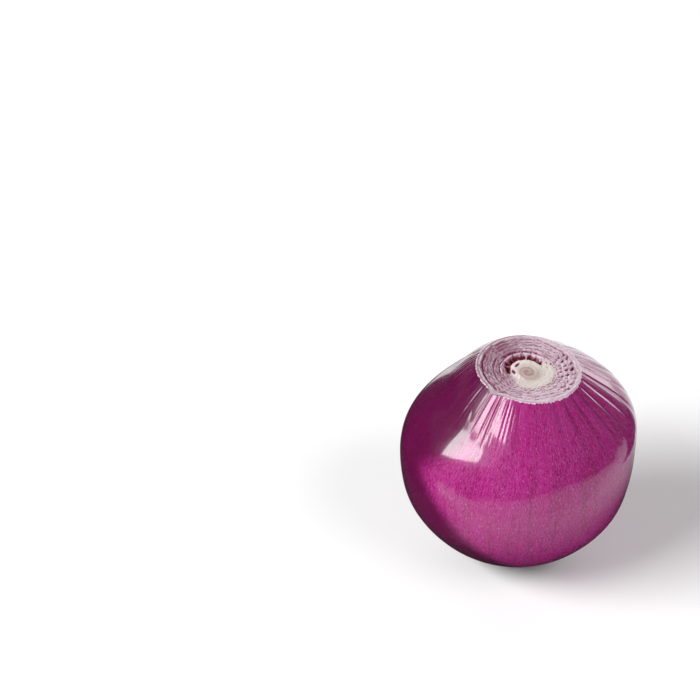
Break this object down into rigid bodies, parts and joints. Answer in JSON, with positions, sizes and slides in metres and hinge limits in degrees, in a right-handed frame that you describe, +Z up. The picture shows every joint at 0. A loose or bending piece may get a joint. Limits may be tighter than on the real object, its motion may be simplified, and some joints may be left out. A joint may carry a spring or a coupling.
{
  "type": "shallot",
  "caption": "Peeled red shallot bulb standing on its trimmed neck, with the trimmed root end on top showing its cut scales as rings.",
  "frame": {"origin": "middle of the small flat of the trimmed neck that the bulb stands on", "axes": "+Z up from the trimmed neck towards the trimmed root end, -Y the front, +X right seen from the front; the root end leans about 4 degrees towards +X and 3 degrees towards -Y"},
  "size_m": [0.0322, 0.0319, 0.0319],
  "materials": {
    "bulb_scale": "moist, glossy fleshy scale, magenta outside and lilac-white where cut"
  },
  "bodies": {
    "root": {"bulb": "bulb_scale"}
  },
  "joints": []
}
